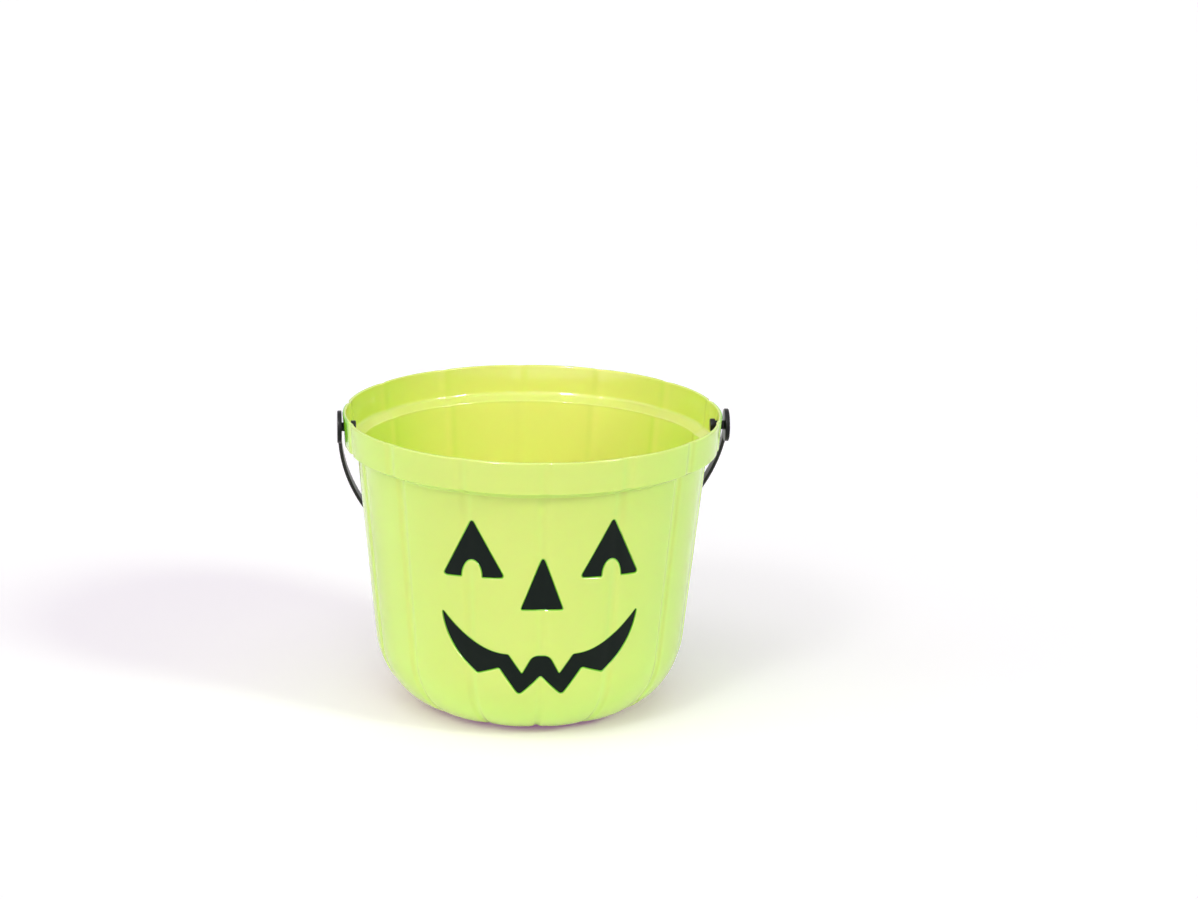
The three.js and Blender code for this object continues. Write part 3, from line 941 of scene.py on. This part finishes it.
def mixColour(tree, factor, one, two):
    mix = tree.nodes.new("ShaderNodeMix")
    mix.data_type = "RGBA"
    colours = [socket for socket in mix.inputs if socket.type == "RGBA"]
    tree.links.new(factor, mix.inputs[0])
    for socket, value in zip(colours, (one, two)):
        if isinstance(value, bpy.types.NodeSocket):
            tree.links.new(value, socket)
        else:
            socket.default_value = value
    return next(socket for socket in mix.outputs if socket.type == "RGBA")


# The lime plastic: a colour for each surface, where each takes over, and the finish itself
lime = {
    "outside": (0.69, 0.785, 0.19, 1),
    "outsideCloud": (0.675, 0.775, 0.18, 1),
    # painted sheen: the outside turns greener where it is seen aslant
    "outsideAslantSheen": (0.675, 0.88, 0.195, 1),
    # painted shade: a deeper green on the band beside each disc
    "besideDiscShade": (0.28, 0.72, 0.02, 1),
    # painted light: the inside band, ledge and inside wall are lighter or darker copies of the one plastic
    # for how light falls inside, each with a painted sheen where seen aslant
    "insideBandLight": (0.815, 0.83, 0.195, 1),
    "insideBandAslantSheen": (0.71, 0.84, 0.14, 1),
    "ledgeLight": (0.71, 0.745, 0.18, 1),
    "ledgeAslantSheen": (0.8, 0.89, 0.21, 1),
    "insideWallLight": (0.88, 0.885, 0.225, 1),
    "insideWallAslantSheen": (0.72, 0.87, 0.15, 1),
    # painted shade: a deeper green down the walls of each recess
    "recess": (0.2, 0.6, 0.03, 1),
    "outsideTurn": (0.08, 0.5),  # how far a wall turns from the eye before it takes its aslant colour
    "insideTurn": (0.04, 0.42),
    "ledgeTurn": (0.35, 0.75),
    "ledgeFrom": (0.1508, 0.1526),  # heights in m between which one colour becomes the next
    "bandFrom": (0.1544, 0.1562),
    "discShadeAside": (0.1052, 0.107),  # the part of the band beside the bail's discs, a deeper green
    "discShadeUp": (0.1555, 0.158),
    "recessFrom": (0.04, 0.45),  # shares of a recess's depth
    "refraction": 1.49,
    "roughness": 0.09,
    "gloss": 0.6,
    "glowWeight": 0.35,
    "glowColours": (0.6, 1.0, 0.35),
    "glowReach": 0.004,
    "fineScale": 2200,
    "fineDepth": 0.0000015,
    "waveScale": 28,
    "waveDepth": 0.00008,
}


def attributeValue(tree, name):
    node = tree.nodes.new("ShaderNodeAttribute")
    node.attribute_name = name
    return node.outputs["Fac"]


def ramp(tree, value, limits):
    low, high = limits
    node = tree.nodes.new("ShaderNodeMapRange")
    node.inputs["From Min"].default_value = low
    node.inputs["From Max"].default_value = high
    tree.links.new(value, node.inputs["Value"])
    return node.outputs[0]


def limePlastic():
    material, tree, shader = newMaterial("limePlastic", {
        "Roughness": lime["roughness"], "IOR": lime["refraction"], "Subsurface Weight": lime["glowWeight"],
        "Subsurface Radius": lime["glowColours"], "Subsurface Scale": lime["glowReach"],
        "Specular IOR Level": lime["gloss"]})
    grain = addGrain(tree, shader, {"Fine Scale": lime["fineScale"], "Fine Depth": lime["fineDepth"],
                                    "Wave Scale": lime["waveScale"], "Wave Depth": lime["waveDepth"]})
    body = mixColour(tree, grain.outputs["Cloud"], lime["outside"], lime["outsideCloud"])
    facing = tree.nodes.new("ShaderNodeLayerWeight").outputs["Facing"]
    # painted sheen: a greener outside colour where the wall turns away from the eye
    body = mixColour(tree, ramp(tree, facing, lime["outsideTurn"]), body, lime["outsideAslantSheen"])
    aslant = ramp(tree, facing, lime["insideTurn"])
    place = tree.nodes.new("ShaderNodeSeparateXYZ")
    tree.links.new(tree.nodes.new("ShaderNodeTexCoord").outputs["Object"], place.inputs[0])
    up = place.outputs["Z"]
    # painted shade of the discs on the band, placed by position
    aside = ramp(tree, mathNode(tree, "ABSOLUTE", place.outputs["X"]), lime["discShadeAside"])
    discShade = mathNode(tree, "MULTIPLY", aside, ramp(tree, up, lime["discShadeUp"]))
    body = mixColour(tree, discShade, body, lime["besideDiscShade"])
    # painted light and sheen: separate colours for the inside band, ledge and wall of the same plastic
    band = mixColour(tree, aslant, lime["insideBandLight"], lime["insideBandAslantSheen"])
    wall = mixColour(tree, aslant, lime["insideWallLight"], lime["insideWallAslantSheen"])
    ledgeLight = mixColour(tree, ramp(tree, facing, lime["ledgeTurn"]), lime["ledgeLight"], lime["ledgeAslantSheen"])
    inside = mixColour(tree, ramp(tree, up, lime["bandFrom"]), ledgeLight, band)
    inside = mixColour(tree, ramp(tree, up, lime["ledgeFrom"]), wall, inside)
    body = mixColour(tree, attributeValue(tree, "inside"), body, inside)
    # painted shade in the recesses round the black paint, by their depth
    recessShade = ramp(tree, attributeValue(tree, "recess"), lime["recessFrom"])
    tree.links.new(mixColour(tree, recessShade, body, lime["recess"]), shader.inputs["Base Color"])
    return material


blackPaint = {
    "shader": {"Base Color": (0.0035, 0.0075, 0.006, 1), "Roughness": 0.4, "Specular IOR Level": 0.12},
    "grain": {"Fine Scale": 1500, "Fine Depth": 0.000006, "Wave Scale": 60, "Wave Depth": 0.00005},
}

blackPlastic = {
    "shader": {"Base Color": (0.006, 0.006, 0.0075, 1), "Roughness": 0.28, "Specular IOR Level": 0.18},
    "grain": {"Fine Scale": 1800, "Fine Depth": 0.000004, "Wave Scale": 50, "Wave Depth": 0.00006},
}


def blackMaterial(name, values):
    material, tree, shader = newMaterial(name, values["shader"])
    addGrain(tree, shader, values["grain"])
    return material


limeFinish = limePlastic()
paintFinish = blackMaterial("satinPaint", blackPaint)
plasticFinish = blackMaterial("blackPlastic", blackPlastic)
print("materials made")


def addPiece(name, mesh, body, *nodes, finish):
    piece = bpy.data.objects.new(name, mesh)
    bpy.context.scene.collection.objects.link(piece)
    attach(piece, body)
    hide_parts(*nodes)
    print(name, len(mesh.polygons), "faces")


addPiece("lobedBucket", bucketShell(limeFinish), "bucket", "bucket_shell", finish="lime_plastic")
paintedAreas = (
    ("leftEye", "leftEyePaint", "left_eye"),
    ("rightEye", "rightEyePaint", "right_eye"),
    ("nose", "nosePaint", "nose"),
    ("grin", "mouthPaint", "mouth"),
)
for outlineName, pieceName, node in paintedAreas:
    addPiece(pieceName, paintSkin(outlines[outlineName], paintFinish), "bucket", node, finish="black_paint")
addPiece("swingBail", bailMesh(plasticFinish), "bail", "handle", finish="black_plastic")


# A pale floor that glows a little, and the light from all sides; near the bucket the glow is dimmed and
# tinted, a painted contact shadow
studio = {
    "floorColour": (0.91, 0.945, 0.9, 1),
    "floorRoughness": 0.9,
    "floorGlow": (0.235, 0.168, 0.262, 1),
    # painted contact shadow: a dimmer, mauve glow where the bucket is near the floor
    "contactShadowGlow": (0.16, 0.02, 0.18, 1),
    "contactReach": 0.05,  # how near the bucket has to be to shade the floor
    "contactFrom": (0.25, 0.85),
    "contactSamples": 5,
    "fill": 0.215,
    "floorSize": 12.0,
}

# Soft distant lamps: angle round the bucket, height and spread in degrees, then strength and colour
lamps = {
    "leftLamp": (-34, 40, 12, 0.43, (1.0, 0.98, 0.98)),
    "rightLamp": (52, 33, 12, 1.05, (0.86, 1.0, 0.78)),
    "wideLamp": (-42, 20, 100, 1.79, (1.0, 0.97, 0.98)),
    "topLamp": (0, 80, 50, 0.6, (1.0, 0.99, 1.0)),
}

# Small lamps that only glossy surfaces mirror, in the same order
glints = {
    "leftGlint": (-29, 40, 8, 3.2),
    "rightGlint": (52, 33, 8, 3.0),
}


# One for what the camera, a mirror or a clear surface sees, nothing for scattered light
def seenDirectly(tree):
    path = tree.nodes.new("ShaderNodeLightPath")
    rays = mathNode(tree, "ADD", path.outputs["Is Camera Ray"], path.outputs["Is Glossy Ray"])
    return mathNode(tree, "MINIMUM", mathNode(tree, "ADD", rays, path.outputs["Is Transmission Ray"]), 1)


def addFloor():
    half = studio["floorSize"] / 2
    mesh = bpy.data.meshes.new("floor")
    corners = [(-half, -half, 0), (half, -half, 0), (half, half, 0), (-half, half, 0)]
    mesh.from_pydata(corners, [], [(0, 1, 2, 3)])
    material, tree, shader = newMaterial("palePaper", {
        "Base Color": studio["floorColour"], "Roughness": studio["floorRoughness"],
        "Specular IOR Level": 0.0})
    # painted contact shadow: the glow dims where the bucket hides the floor
    shade = tree.nodes.new("ShaderNodeAmbientOcclusion")
    shade.samples = studio["contactSamples"]
    shade.inputs["Distance"].default_value = studio["contactReach"]
    openSky = ramp(tree, shade.outputs["AO"], studio["contactFrom"])
    glow = mixColour(tree, openSky, studio["contactShadowGlow"], studio["floorGlow"])
    tree.links.new(glow, shader.inputs["Emission Color"])
    tree.links.new(seenDirectly(tree), shader.inputs["Emission Strength"])
    mesh.materials.append(material)
    floor = bpy.data.objects.new("floor", mesh)
    bpy.context.scene.collection.objects.link(floor)


# White where it is seen, and a dimmer fill as light
def addWorld():
    world = bpy.data.worlds.new("studio")
    bpy.context.scene.world = world
    world.use_nodes = True
    tree = world.node_tree
    light = tree.nodes["Background"]
    light.inputs["Color"].default_value = (1, 1, 1, 1)
    strength = mathNode(tree, "MULTIPLY_ADD", seenDirectly(tree), 1 - studio["fill"], studio["fill"])
    tree.links.new(strength, light.inputs["Strength"])


def addLamp(name, around, up, spreadAngle, strength, colour=(1, 1, 1)):
    data = bpy.data.lights.new(name, "SUN")
    data.energy = strength
    data.color = colour
    data.angle = math.radians(spreadAngle)
    lamp = bpy.data.objects.new(name, data)
    lamp.rotation_euler = (math.radians(90 - up), 0, math.radians(around))
    bpy.context.scene.collection.objects.link(lamp)
    return lamp


def addLamps():
    for name, values in lamps.items():
        addLamp(name, *values)
    for name, values in glints.items():
        addLamp(name, *values).visible_diffuse = False


addFloor()
addWorld()
addLamps()
bpy.context.scene.view_settings.view_transform = "Standard"
print("floor, world and lamps placed")
